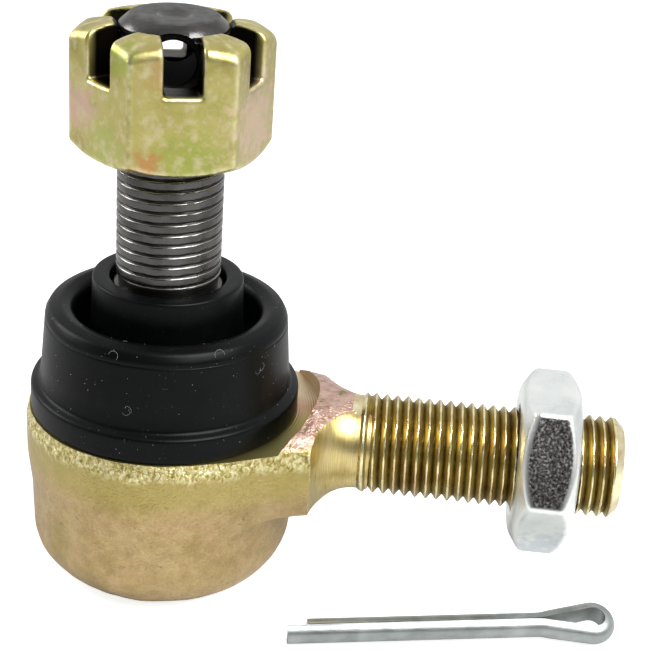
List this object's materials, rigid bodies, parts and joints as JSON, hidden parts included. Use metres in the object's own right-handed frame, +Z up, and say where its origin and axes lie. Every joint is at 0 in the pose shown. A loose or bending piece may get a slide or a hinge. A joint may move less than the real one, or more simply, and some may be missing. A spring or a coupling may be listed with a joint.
{
  "type": "tie rod end",
  "caption": "Tie rod end: forged housing with a threaded shank, a swivelling threaded ball stud under a rubber dust boot, a castle nut, a jam nut and a loose cotter pin.",
  "frame": {"origin": "centre of the housing's underside, on the ball stud's axis", "axes": "+Z up the ball stud, +X out along the threaded shank"},
  "size_m": [0.071, 0.0332, 0.0671],
  "materials": {
    "housing_zinc": "yellow-chromated zinc over forged steel, turned where the shank leaves it",
    "plate_zinc": "yellow-chromated zinc over pressed steel",
    "castle_zinc": "iridescent yellow-chromated zinc",
    "jam_zinc": "bright clear-passivated zinc",
    "stud_steel": "bare machined alloy steel",
    "pin_steel": "bright zinc on soft steel wire",
    "spring_steel": "oiled spring steel",
    "inner_steel": "plain pressed steel",
    "boot_rubber": "moulded satin black rubber",
    "bearing_plastic": "moulded acetal"
  },
  "bodies": {
    "housing": {"housing": "housing_zinc", "closing_plate": "plate_zinc", "disc_spring": "spring_steel", "pressure_ring": "inner_steel", "boot_base_ring": "inner_steel"},
    "bearing": {"lower_bearing_seat": "bearing_plastic", "upper_bearing_seat": "bearing_plastic"},
    "boot_collar": {"boot_upper_ring": "inner_steel", "dust_boot": "boot_rubber"},
    "ball_stud": {"ball_stud": "stud_steel"},
    "castle_nut": {"castle_nut": "castle_zinc"},
    "jam_nut": {"jam_nut": "jam_zinc"},
    "cotter_pin": {"cotter_pin": "pin_steel"}
  },
  "joints": [
    {"name": "bearing_turn", "type": "hinge", "parent": "housing", "child": "bearing", "pos_m": [0, 0, 0.0132], "axis": [0, 0, 1], "continuous": true},
    {"name": "stud_tilt", "type": "hinge", "parent": "bearing", "child": "boot_collar", "pos_m": [0, 0, 0.0132], "axis": [0, 1, 0], "range_deg": [-22, 22], "deforming": ["dust_boot"]},
    {"name": "stud_spin", "type": "hinge", "parent": "boot_collar", "child": "ball_stud", "pos_m": [0, 0, 0.0132], "axis": [0, 0, 1], "continuous": true},
    {"name": "castle_nut_slide", "type": "slide", "parent": "ball_stud", "child": "castle_nut", "axis": [0, 0, 1], "range_m": [-0.0148, 0.025]},
    {"name": "jam_nut_slide", "type": "slide", "parent": "housing", "child": "jam_nut", "axis": [1, 0, 0], "range_m": [-0.0174, 0.02]},
    {"name": "cotter_pin_slide", "type": "slide", "parent": "housing", "child": "cotter_pin", "axis": [0, -1, 0], "range_m": [0, 0.04]}
  ]
}
